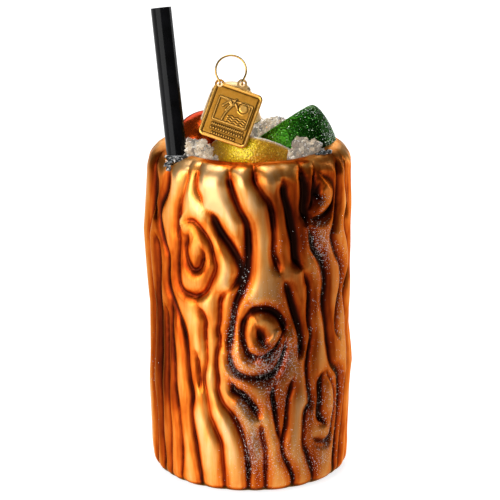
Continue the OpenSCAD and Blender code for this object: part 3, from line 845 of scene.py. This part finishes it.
def inside_fruit(points, fruit, margin):
    """Points inside a wedge, or within the margin of it. Its cut along the drink is left out."""
    inside = np.ones(len(points), bool)
    for centre, radius in fruit["balls"]:
        inside &= np.linalg.norm(points - np.array(centre), axis=1) < radius + margin
    for point, normal in fruit["planes"][:-1]:
        inside &= (points - np.array(point)) @ np.array(normal) < margin
    return inside


def blocked(points, margin):
    """Points inside the fruit, the straw or the neck."""
    bad = np.zeros(len(points), bool)
    for fruit in (LEMON, LIME, ORANGE):
        bad |= inside_fruit(points, fruit, margin)
    along = (points - STRAW_FOOT) @ STRAW_AXIS
    off_axis = np.linalg.norm(points - STRAW_FOOT - along[:, None] * STRAW_AXIS, axis=1)
    bad |= off_axis < STRAW_R + margin
    bad |= np.hypot(points[:, 0] - NECK_X, points[:, 1]) < NECK_R + margin
    return bad


def grains(name, centres, sizes, seed, darkening=1.0):
    """Broken grains of granulate: cubes with their corners pushed about, with flat faces.

    A value above 1 for the last argument makes more of them dark: clear grains look dark in a heap, and
    on a heap that lies in shade the extra dark grains are painted shade.
    """
    rng = np.random.default_rng(seed)
    vertices, faces, base = [], [], 0
    box = np.array([[x, y, z] for x in (-1, 1) for y in (-1, 1) for z in (-1, 1)], float)
    sides = [[0, 1, 3, 2], [4, 6, 7, 5], [0, 4, 5, 1], [2, 3, 7, 6], [0, 2, 6, 4], [1, 5, 7, 3]]
    for centre, size in zip(centres, sizes):
        stretch = rng.uniform(0.45, 1.0, 3)
        corners = box * stretch + rng.uniform(-0.38, 0.38, (8, 3))
        turn = np.eye(3)
        for axis in (2, 0, 1):
            turn = turn @ rotation(axis, rng.uniform(0, 360))
        vertices.append(centre + size * 0.5 * corners @ turn.T)
        for a, b, c, d in sides:
            faces.append([base + a, base + b, base + c])
            faces.append([base + a, base + c, base + d])
        base += 8
    obj = new_object(name, np.vstack(vertices), faces, smooth=False)
    set_attribute(obj, "hue", np.repeat(rng.random(len(centres)) ** (1 / darkening), 12), "FACE")
    return obj


def heap(seed, centre, spread, count, size):
    """Grain centres filling an oval heap on the drink, clear of what stands there."""
    rng = np.random.default_rng(seed)
    points = rng.normal(size=(count * 4, 3))
    points /= np.linalg.norm(points, axis=1)[:, None]
    bumpy = 1 + 0.16 * np.sin(5 * points[:, :1] + seed) + 0.14 * np.sin(6 * points[:, 2:] + 2 * seed)
    points *= bumpy * rng.uniform(0.4, 1, (len(points), 1)) ** (1 / 3)
    points = np.array(centre) + points * np.array(spread)
    radius = np.hypot(points[:, 0], points[:, 1])
    rim = np.where(radius > DISH_R, DRINK_Z + (radius - DISH_R) * 0.9, DRINK_Z)
    keep = (points[:, 2] > rim) & (radius < CREST_R - 0.2) & ~blocked(points, 0.2)
    points = points[keep][:count]
    return points, rng.uniform(*size, len(points))


def carpet(seed, count, size):
    """Grains that cover the drink between the fruit, the neck and the rim."""
    rng = np.random.default_rng(seed)
    angle = rng.uniform(0, 2 * math.pi, count)
    radius = (CREST_R - 1.6) * np.sqrt(rng.uniform(0, 1, count))
    height = DRINK_Z + np.maximum(radius - DISH_R, 0) * 0.85 + rng.uniform(0, 1.1, count)
    points = np.stack([radius * np.cos(angle), radius * np.sin(angle), height], axis=1)
    points = points[~blocked(points, 0.1) & (points[:, 1] > -8)]
    return points, rng.uniform(*size, len(points))


def ice_material():
    n = Nodes("ice_grains")
    milky_to_dark = [
        (0.0, (0.98, 0.93, 0.82)), (0.35, (0.92, 0.83, 0.66)), (0.55, (0.80, 0.64, 0.44)),
        (0.75, (0.42, 0.33, 0.24)), (1.0, (0.12, 0.10, 0.08))]
    # a faint glow brightens the grains, and it is painted light
    n.set(Base_Color=n.ramp(n.attribute("hue"), milky_to_dark),
          Roughness=n.cloudy(2500, 2, 0.10, 0.30), IOR=1.5, Transmission_Weight=0.45,
          Coat_Weight=0.8, Coat_Roughness=0.06,
          Emission_Color=(1.0, 0.94, 0.84), Emission_Strength=0.10)
    return n.material


def build_ice():
    material = ice_material()
    # each node: how dark its grains are, from clear grains and, on the right heap, from painted shade;
    # then its heaps
    spots = {
        "ice_left": (0.85, [(11, (-15.7, -11.4, 99.2), (3.6, 3.8, 4.2), 330, (0.7, 1.6))]),
        "ice_right": (2.6, [(23, (16.7, -11.9, 99.2), (5.4, 3.6, 4.3), 430, (0.7, 1.7))]),
        "ice_back": (0.65, [(37, (4, 13.5, 99.6), (9.4, 5.2, 4.6), 700, (0.7, 1.6)),
                            (53, (16, 12, 98), (4.2, 4.2, 2.8), 200, (0.6, 1.4))]),
        "ice_by_straw": (1.0, [(41, (-15.5, -2, 97.8), (3.8, 5.2, 2.8), 260, (0.6, 1.4))]),
    }
    for name, (darkening, heaps) in spots.items():
        found = [heap(*settings) for settings in heaps]
        if name == "ice_back":
            found.append(carpet(61, 2200, (0.7, 1.5)))
        centres = np.vstack([points for points, _ in found])
        sizes = np.concatenate([size for _, size in found])
        heap_grains = grains(name + "_grains", centres, sizes, len(name), darkening)
        finish_piece(heap_grains, "ornament", "ice_grains", material, name)


# ---- straw, glue and neck ----

def axis_frame(axis):
    """Two directions across an axis and the axis itself, as columns."""
    side = unit(np.cross(axis, [0, 1, 0]))
    return np.stack([side, np.cross(axis, side), axis], axis=1)


def lathe(name, profile, origin, axis, columns):
    """A closed loop of (radius, height) points turned round an axis."""
    angles = np.linspace(0, 2 * math.pi, columns, endpoint=False)
    r, h = np.array(profile, float).T
    local = np.stack([r[:, None] * np.cos(angles), r[:, None] * np.sin(angles),
                      np.repeat(h[:, None], columns, axis=1)], axis=-1)
    rings = np.asarray(origin) + local @ axis_frame(unit(axis)).T
    closed = np.concatenate([rings, rings[:1]], axis=0)
    obj = ring_mesh(name, closed)
    bm = bmesh.new()
    bm.from_mesh(obj.data)
    bmesh.ops.remove_doubles(bm, verts=bm.verts, dist=1e-7)
    bmesh.ops.recalc_face_normals(bm, faces=bm.faces)
    bm.to_mesh(obj.data)
    bm.free()
    return obj


def straw_material():
    n = Nodes("straw_black")
    n.set(Base_Color=n.ramp(n.noise(200, 2), [(0.3, (0.002, 0.002, 0.002)),
                                              (0.7, (0.005, 0.005, 0.006))]),
          Roughness=n.cloudy(500, 3, 0.10, 0.18), IOR=1.45, Specular_IOR_Level=0.14)
    n.bump(n.noise(1800, 2), 0.00002, 0.4)
    return n.material


def glue_material():
    n = Nodes("clear_glue")
    n.set(Base_Color=n.ramp(n.noise(600, 4), [(0.45, (0.006, 0.008, 0.008)),
                                              (0.75, (0.06, 0.065, 0.065))]),
          Roughness=n.cloudy(900, 2, 0.05, 0.3), Coat_Weight=0.8, Coat_Roughness=0.05)
    n.bump(n.noise(900, 4), 0.0004, 0.8)
    return n.material


def glue_bead():
    """A lumpy bead of glue round the straw's foot."""
    angles = np.linspace(0, 2 * math.pi, 64, endpoint=False)
    rings = []
    for t in np.linspace(-1.2, 1, 12):
        swell = 1.15 * math.sqrt(max(1 - (t + 0.1) ** 2 / 1.25, 0.02))
        wobble = 0.25 * np.sin(3 * angles + 1) + 0.18 * np.sin(5 * angles + 4 * t)
        r = STRAW_R - 0.1 + swell * (1 + wobble)
        h = 0.5 + 1.3 * t + 0.25 * np.sin(2 * angles)
        local = np.stack([r * np.cos(angles), r * np.sin(angles), h], axis=1)
        rings.append(STRAW_FOOT + local @ axis_frame(STRAW_AXIS).T)
    return ring_mesh("glue_bead", np.array(rings), STRAW_FOOT - 1.2 * STRAW_AXIS,
                     STRAW_FOOT + 1.9 * STRAW_AXIS)


def glue_blobs(name, blobs, material):
    """Drops of glue, as (centre, radius), run together into one skin."""
    bm = bmesh.new()
    for centre, size in blobs:
        for v in bmesh.ops.create_icosphere(bm, subdivisions=4, radius=size)["verts"]:
            v.co.z *= 0.7
            v.co += Vector(centre)
    bmesh.ops.scale(bm, vec=(MM, MM, MM), verts=bm.verts)
    mesh = bpy.data.meshes.new(name)
    bm.to_mesh(mesh)
    bm.free()
    obj = add_object(name, mesh)
    remesh = obj.modifiers.new("join", "REMESH")
    remesh.mode = "VOXEL"
    remesh.voxel_size = 0.12 * MM
    depsgraph = bpy.context.evaluated_depsgraph_get()
    obj.data = bpy.data.meshes.new_from_object(obj.evaluated_get(depsgraph))
    obj.modifiers.clear()
    obj.data.polygons.foreach_set("use_smooth", [True] * len(obj.data.polygons))
    return finish_piece(obj, "ornament", "clear_glue", material)


def stray_grains(name, surface, count, seed, lift=0.0):
    """A few grains of ice stuck on a surface."""
    at, normal, rng = scatter(surface, count, seed)
    stray = grains(name, at + normal * lift, rng.uniform(0.2, 0.7, count), seed + 1, 2.0)
    # these keep the plain material that the CAD model gives its ice
    finish_piece(stray, "ornament", "ice_grains", bpy.data.materials["ice_grains"])


def build_straw():
    finish_node("straw", straw_material())
    glue = glue_material()
    bead = finish_piece(glue_bead(), "ornament", "clear_glue", glue, "straw_glue")
    stray_grains("glue_grains", bead, 50, 72, 0.1)
    # dark glossy drops in front of the lime, and glue run over the rim in front of the straw
    pool = glue_blobs("dark_drops_by_lime", [((19.8, -14.6, 100.1), 1.0), ((21.3, -13.2, 100.2), 1.35),
                                    ((23.1, -11.4, 100.1), 1.1)], glue)
    run = glue_blobs("glue_run", [((-22.8, -14.9, 98.2), 1.5), ((-23.9, -15.6, 97.4), 1.3),
                                  ((-23.6, -17.0, 96.4), 1.1), ((-20.6, -15.4, 98.1), 1.1)], glue)
    stray_grains("pool_grains", pool, 5, 75)
    stray_grains("run_grains", run, 22, 75)


def build_neck(material):
    outer = [(NECK_R + 2.2, DRINK_Z - 0.6), (NECK_R + 1.6, DRINK_Z + 0.2),
             (NECK_R + 0.7, DRINK_Z + 1.2), (NECK_R + 0.15, DRINK_Z + 2.6), (NECK_R, DRINK_Z + 5),
             (NECK_R, NECK_TOP - 0.5), (NECK_R - 0.25, NECK_TOP)]
    inner = [(NECK_R - 0.7, NECK_TOP), (NECK_R - 0.95, NECK_TOP - 0.4),
             (NECK_R - 1, NECK_TOP - 3), (NECK_R - 1, DRINK_Z - 0.6)]
    neck = lathe("glass_neck", outer + inner, (NECK_X, 0, 0), (0, 0, 1), 72)
    # an even touch of lacquer, and of the smoky coat with painted shade, over the whole neck
    set_attribute(neck, "lacquer", np.full(len(neck.data.vertices), 0.1))
    set_attribute(neck, "smoke_and_shade", np.full(len(neck.data.vertices), 0.2))
    finish_piece(neck, "ornament", "log_lacquer", material, "glass_body")


# ---- metal ----

def metal_material(name, low, high, roughness):
    """Metal between two colours, a little worn."""
    n = Nodes(name)
    worn = n.noise(900, 4)
    n.set(Base_Color=n.ramp(worn, [(0.35, low), (0.65, high)]), Metallic=1.0,
          Roughness=n.cloudy(360, 3, roughness * 0.75, roughness * 1.3))
    n.bump(worn, 0.00003, 0.6)
    return n.material


# The tag's own axes start at its upper left corner, so v is negative down its face
TAG_W, TAG_H = 14.9, 16.7
TAG_T = 0.5
TAG_CORNER = 1.6
TAG_HOLE = (1.3, -0.65)
TAG_HOLE_R = 0.9
TAG_EYELET_R = 1.35
TAG_TURN = 19.6
TAG_SAG = 0.2


def rounded_box_distance(u, v, centre, half, corner):
    """Signed distance to a rectangle with round corners, negative inside."""
    du = np.abs(u - centre[0]) - half[0] + corner
    dv = np.abs(v - centre[1]) - half[1] + corner
    outside = np.hypot(np.maximum(du, 0), np.maximum(dv, 0))
    return outside + np.minimum(np.maximum(du, dv), 0) - corner


def plate_distance(u, v):
    """Signed distance to the edge of the tag's plate, negative inside."""
    half_w, half_h = TAG_W / 2, TAG_H / 2
    return rounded_box_distance(u, v, (half_w, -half_h), (half_w, half_h), TAG_CORNER)


def from_hole(u, v):
    """Distance from the middle of the tag's hole."""
    return np.hypot(u - TAG_HOLE[0], v - TAG_HOLE[1])


def line_distance(u, v, route):
    """Distance to a broken line."""
    best = np.full(np.shape(u), 1e9)
    for (ax, ay), (bx, by) in zip(route[:-1], route[1:]):
        length2 = (bx - ax) ** 2 + (by - ay) ** 2
        t = np.clip(((u - ax) * (bx - ax) + (v - ay) * (by - ay)) / length2, 0, 1)
        best = np.minimum(best, np.hypot(u - ax - t * (bx - ax), v - ay - t * (by - ay)))
    return best


def tag_lines(u, v):
    """Distances to the tag's edge and to the lines of its picture: a palm, a sun and waves."""
    edge = plate_distance(u, v)
    picture = rounded_box_distance(u, v, (7.8, -7.6), (5.1, 3.5), 0.3)
    sun = np.hypot(u - 10.4, v + 5.4)
    palm = line_distance(u, v, [(5.4, -10.4), (5.7, -8.6), (6.3, -7.0), (7.0, -5.6)])
    for tip, sag in (((4.4, -6.4), -4.8), ((5.0, -4.3), -4.3), ((7.7, -3.6), -4.1),
                     ((8.8, -6.2), -4.9), ((5.6, -7.4), -5.8)):
        palm = np.minimum(palm, line_distance(u, v, [(7.0, -5.6), ((7.0 + tip[0]) / 2, sag), tip]))
    waves = np.full(np.shape(u), 1e9)
    for row in range(3):
        wave = np.abs(v + 8.9 + 0.7 * row - 0.16 * np.sin(u * 3.4 + row))
        waves = np.minimum(waves, np.where((picture < -0.3) & (u > 6.6), wave, 1e9))
    beads = np.full(np.shape(u), 1e9)
    for v_row, first, last, pitch in ((-12.4, 3.2, 12.8, 0.62), (-13.6, 3.2, 12.8, 0.80),
                                      (-15.1, 4.0, 11.4, 0.75)):
        places = np.arange(first, last, pitch)
        across = np.abs(u[..., None] - places).min(axis=-1)
        beads = np.minimum(beads, np.hypot(across, (v - v_row) * 0.7))
    return edge, picture, sun, palm, waves, beads


def tag_height(u, v):
    """Raised pattern of the tag: rolled rim, frame, palm, sun, waves and rows of beads."""
    edge, picture, sun, palm, waves, beads = tag_lines(u, v)
    height = 0.22 * np.exp(-((edge + 0.45) / 0.28) ** 2)
    height -= 0.12 * np.exp(-((edge + 1.05) / 0.18) ** 2)
    height += 0.18 * np.exp(-(picture / 0.18) ** 2)
    height += 0.16 * smooth_step(1.3, 1.05, sun) + 0.12 * np.exp(-((sun - 1.8) / 0.14) ** 2)
    height += 0.18 * np.exp(-(palm / 0.22) ** 2)
    height += 0.12 * np.exp(-(waves / 0.16) ** 2)
    height += 0.16 * np.exp(-(beads / 0.19) ** 2)
    return height


def tag_tarnish_and_shade(u, v):
    """Dark colour beside the raised lines: tarnish, and painted shade in the hollows along them."""
    edge, picture, sun, palm, waves, beads = tag_lines(u, v)
    dark = np.exp(-((edge + 1.10) / 0.22) ** 2)
    for distance, offset in ((picture, 0.32), (sun, 1.5), (palm, 0.34), (waves, 0.3),
                             (beads, 0.33)):
        dark = np.maximum(dark, 0.9 * np.exp(-((np.abs(distance) - offset) / 0.17) ** 2))
    return dark


def tag_outline():
    """Points round the tag's edge, swelling round its hole."""
    outline = []
    for angle in np.radians(np.arange(0, 360, 0.75)):
        low, high = 2.0, 14.0
        # halve the span between a point inside and a point outside, until they meet
        for _ in range(24):
            r = (low + high) / 2
            u = TAG_W / 2 + r * math.cos(angle)
            v = -TAG_H / 2 + r * math.sin(angle)
            inside = plate_distance(u, v) < 0 or from_hole(u, v) < TAG_EYELET_R
            low, high = (r, high) if inside else (low, r)
        outline.append((u, v))
    return outline


def tag_triangles():
    """Flat triangles that fill the tag and leave its hole open: points (u, v) and faces."""
    outline = tag_outline()
    hole = [(TAG_HOLE[0] + TAG_HOLE_R * math.cos(a), TAG_HOLE[1] + TAG_HOLE_R * math.sin(a))
            for a in np.linspace(0, 2 * math.pi, 36, endpoint=False)]
    step, clear = 0.14, 0.08
    grid_u, grid_v = np.meshgrid(np.arange(step, TAG_W, step), np.arange(-TAG_H + step, 0, step))
    inner = plate_distance(grid_u, grid_v) < -clear
    inner &= from_hole(grid_u, grid_v) > TAG_HOLE_R + clear
    points = [Vector(p) for p in outline + hole + list(zip(grid_u[inner], grid_v[inner]))]
    edges, start = [], 0
    for loop in (outline, hole):
        edges += [(start + i, start + (i + 1) % len(loop)) for i in range(len(loop))]
        start += len(loop)
    flat, _, faces, _, _, _ = delaunay_2d_cdt(points, edges, [], 0, 1e-5)
    flat = np.array([tuple(p) for p in flat])
    faces = np.array([f for f in faces if len(f) == 3])
    u, v = flat[faces].mean(axis=1).T
    solid = (plate_distance(u, v) < 0) | (from_hole(u, v) < TAG_EYELET_R)
    solid &= from_hole(u, v) >= TAG_HOLE_R * 0.995
    used, faces = np.unique(faces[solid], return_inverse=True)
    return flat[used], faces.reshape(-1, 3)


def tag_to_world(local):
    """From the tag's axes to the ornament's: u along its top edge, v up its side, w forwards."""
    pin = JOINTS["tag_swing"]
    w_axis = unit(pin["axis"])
    right = np.array([1.0, 0, 0])
    up = np.cross(w_axis, right)
    turn = math.radians(TAG_TURN)
    u_axis = right * math.cos(turn) - up * math.sin(turn)
    v_axis = up * math.cos(turn) + right * math.sin(turn)
    hole_at = np.array(pin["pos_m"]) / MM - TAG_SAG * up
    corner = hole_at - TAG_HOLE[0] * u_axis - TAG_HOLE[1] * v_axis
    return corner + local @ np.stack([u_axis, v_axis, w_axis])


def embossed_tag():
    """The stamped tag. Its back takes a weaker copy of the front's pattern."""
    flat, faces = tag_triangles()
    u, v = flat.T
    height = tag_height(u, v)
    count = len(flat)
    front = np.column_stack([flat, TAG_T / 2 + height])
    back = np.column_stack([flat, -TAG_T / 2 + 0.35 * height])
    edges = dict.fromkeys(edge for a, b, c in faces.tolist()
                          for edge in ((a, b), (b, c), (c, a)))
    walls = [[b, a, a + count, b + count] for a, b in edges if (b, a) not in edges]
    all_faces = faces.tolist() + (faces[:, ::-1] + count).tolist() + walls
    tag = new_object("embossed_tag", tag_to_world(np.vstack([front, back])), all_faces)
    tarnish_and_shade = tag_tarnish_and_shade(u, v)
    set_attribute(tag, "raised", np.concatenate([height, 0.35 * height]))
    set_attribute(tag, "tarnish_and_shade", np.concatenate([tarnish_and_shade, 0.5 * tarnish_and_shade]))
    return tag


def tag_material():
    n = Nodes("tag_brass")
    raised = n.span(n.attribute("raised"), -0.05, 0.2, 0.25, 0.9)
    worn = n.noise(1500, 4)
    tone = n.plus(raised, n.span(worn, 0.3, 0.7, -0.15, 0.15))
    gold = n.ramp(tone, [(0.0, (0.70, 0.29, 0.025)), (0.4, (0.80, 0.36, 0.045)),
                         (0.9, (0.95, 0.54, 0.13))])
    # tarnish and painted shade darken the gold beside the raised lines
    n.set(Base_Color=n.mix(n.attribute("tarnish_and_shade"), gold, (0.035, 0.014, 0.006)), Metallic=1.0,
          Roughness=n.cloudy(400, 3, 0.34, 0.46))
    n.bump(worn, 0.00003, 0.5)
    return n.material


def build_metal():
    for node, material, low, high, roughness in (
            ("neck_cap", "cap_brass", (0.84, 0.50, 0.17), (0.94, 0.62, 0.26), 0.32),
            ("cap_spring", "spring_steel", (0.42, 0.42, 0.41), (0.58, 0.58, 0.56), 0.3),
            ("hanging_loop", "loop_wire", (0.55, 0.32, 0.07), (0.76, 0.48, 0.14), 0.2)):
        finish_node(node, metal_material(material, low, high, roughness))
    finish_piece(embossed_tag(), "tag", "tag_brass", tag_material(), "tag_plate")


# ---- glitter ----

def sprinkle(name, surface, slot, material, count, seed, size, tilt, weight=None):
    at, normal, rng = scatter(surface, count, seed, weight)
    finish_piece(flakes(name, at, normal, rng, size, tilt), "ornament", slot, material)


def build_glitter(log, lemon, lime):
    density = np.empty(len(log.data.vertices), np.float32)
    log.data.attributes["glitter"].data.foreach_get("value", density)
    silver = glitter_material("silver_glitter", [
        (0.0, (0.72, 0.74, 0.74)), (0.5, (0.90, 0.92, 0.92)), (0.75, (0.50, 0.56, 0.60)),
        (0.9, (0.66, 0.50, 0.36))], roughness=0.35)
    # squared, so that the flakes crowd in the middle of their patches
    sprinkle("log_glitter", log, "log_lacquer", silver, 7600, 81, 0.078, 0.30, density ** 2.0)
    gold = glitter_material("lemon_glitter", [
        (0.0, (0.95, 0.66, 0.03)), (0.5, (0.95, 0.74, 0.10)), (0.80, (0.90, 0.70, 0.25)),
        (0.84, (0.40, 0.16, 0.02))], roughness=0.45)
    sprinkle("lemon_glitter", lemon, "lemon_glass", gold, 5200, 82, 0.10, 0.45)
    green = glitter_material("lime_glitter", [
        (0.0, (0.005, 0.06, 0.005)), (0.55, (0.02, 0.20, 0.015)), (0.8, (0.16, 0.55, 0.08)),
        (0.97, (0.80, 0.90, 0.70))], roughness=0.3)
    sprinkle("lime_glitter", lime, "lime_glass", green, 7000, 83, 0.11, 0.45)
    # sugar-white grains gather on the right edge of the lime and on its upper edge
    points = points_of(lime)
    frost = smooth_step(20, 25, points[:, 0]) + 0.35 * smooth_step(107.5, 110, points[:, 2])
    white = glitter_material("lime_frost", [
        (0.0, (0.90, 0.92, 0.90)), (0.6, (0.75, 0.82, 0.76)), (0.9, (0.50, 0.62, 0.52))],
        metallic=0.3, roughness=0.4)
    sprinkle("lime_frost", lime, "lime_glass", white, 1300, 84, 0.13, 0.5, frost)


# ---- stage, in metres ----

LOG_MIDDLE = Vector((0, 0, 0.06))
CAMERA_TARGET = Vector((0, 0, 0.0668))
CAMERA_ELEVATION = 16
CAMERA_DISTANCE = 1.1


def area_light(name, place, size, power):
    """A rectangular light that faces the middle of the log."""
    data = bpy.data.lights.new(name, "AREA")
    data.shape = "RECTANGLE"
    data.size, data.size_y = size
    data.energy = power
    light = add_object(name, data)
    light.location = place
    light.rotation_euler = (LOG_MIDDLE - Vector(place)).to_track_quat("-Z", "Y").to_euler()


def build_floor():
    """A backlit table, dimmer in front of the log's right side."""
    half = 4.0 / MM
    floor = new_object("floor", [[-half, -half, 0], [half, -half, 0], [half, half, 0],
                                 [-half, half, 0]], [[0, 1, 2, 3]])
    n = Nodes("pale_floor")
    away = n.add("ShaderNodeVectorMath", {0: n.position(), 1: (0.12, -0.26, 0)},
                 operation="DISTANCE").outputs["Value"]
    grey = n.ramp(n.noise(3, 2), [(0.3, (0.68, 0.68, 0.68)), (0.7, (0.72, 0.72, 0.72))])
    n.set(Base_Color=grey, Roughness=0.9, Emission_Color=(1, 1, 1),
          Emission_Strength=n.span(away, 0.12, 0.27, 0.02, 0.80, "SMOOTHSTEP"))
    floor.data.materials.append(n.material)


def build_lights():
    world = bpy.data.worlds.new("studio")
    world.use_nodes = True
    background = world.node_tree.nodes["Background"]
    background.inputs["Color"].default_value = (0.95, 0.97, 1.0, 1)
    background.inputs["Strength"].default_value = 0.12
    bpy.context.scene.world = world
    area_light("key", (-0.62, -0.80, 0.30), (1.0, 0.9), 9.5)
    area_light("top", (-0.1, 0.05, 1.1), (0.6, 0.6), 5)
    area_light("rim", (0.75, 0.35, 0.25), (0.12, 0.8), 1.2)
    area_light("back", (-0.1, 1.0, 0.55), (1.0, 0.5), 3.0)


def build_camera():
    data = bpy.data.cameras.new("camera")
    data.lens = 264
    data.sensor_width = 36
    elevation = math.radians(CAMERA_ELEVATION)
    away = Vector((0, -math.cos(elevation), math.sin(elevation))) * CAMERA_DISTANCE
    camera = add_object("camera", data)
    camera.location = CAMERA_TARGET + away
    camera.rotation_euler = (-away).to_track_quat("-Z", "Y").to_euler()
    bpy.context.scene.camera = camera


bpy.context.scene.view_settings.view_transform = "Standard"
build_floor()
build_lights()
build_camera()
bark = build_log()
build_neck(bark.data.materials[0])
lemon_piece, lime_piece = build_fruit()
build_ice()
build_straw()
build_metal()
build_glitter(bark, lemon_piece, lime_piece)
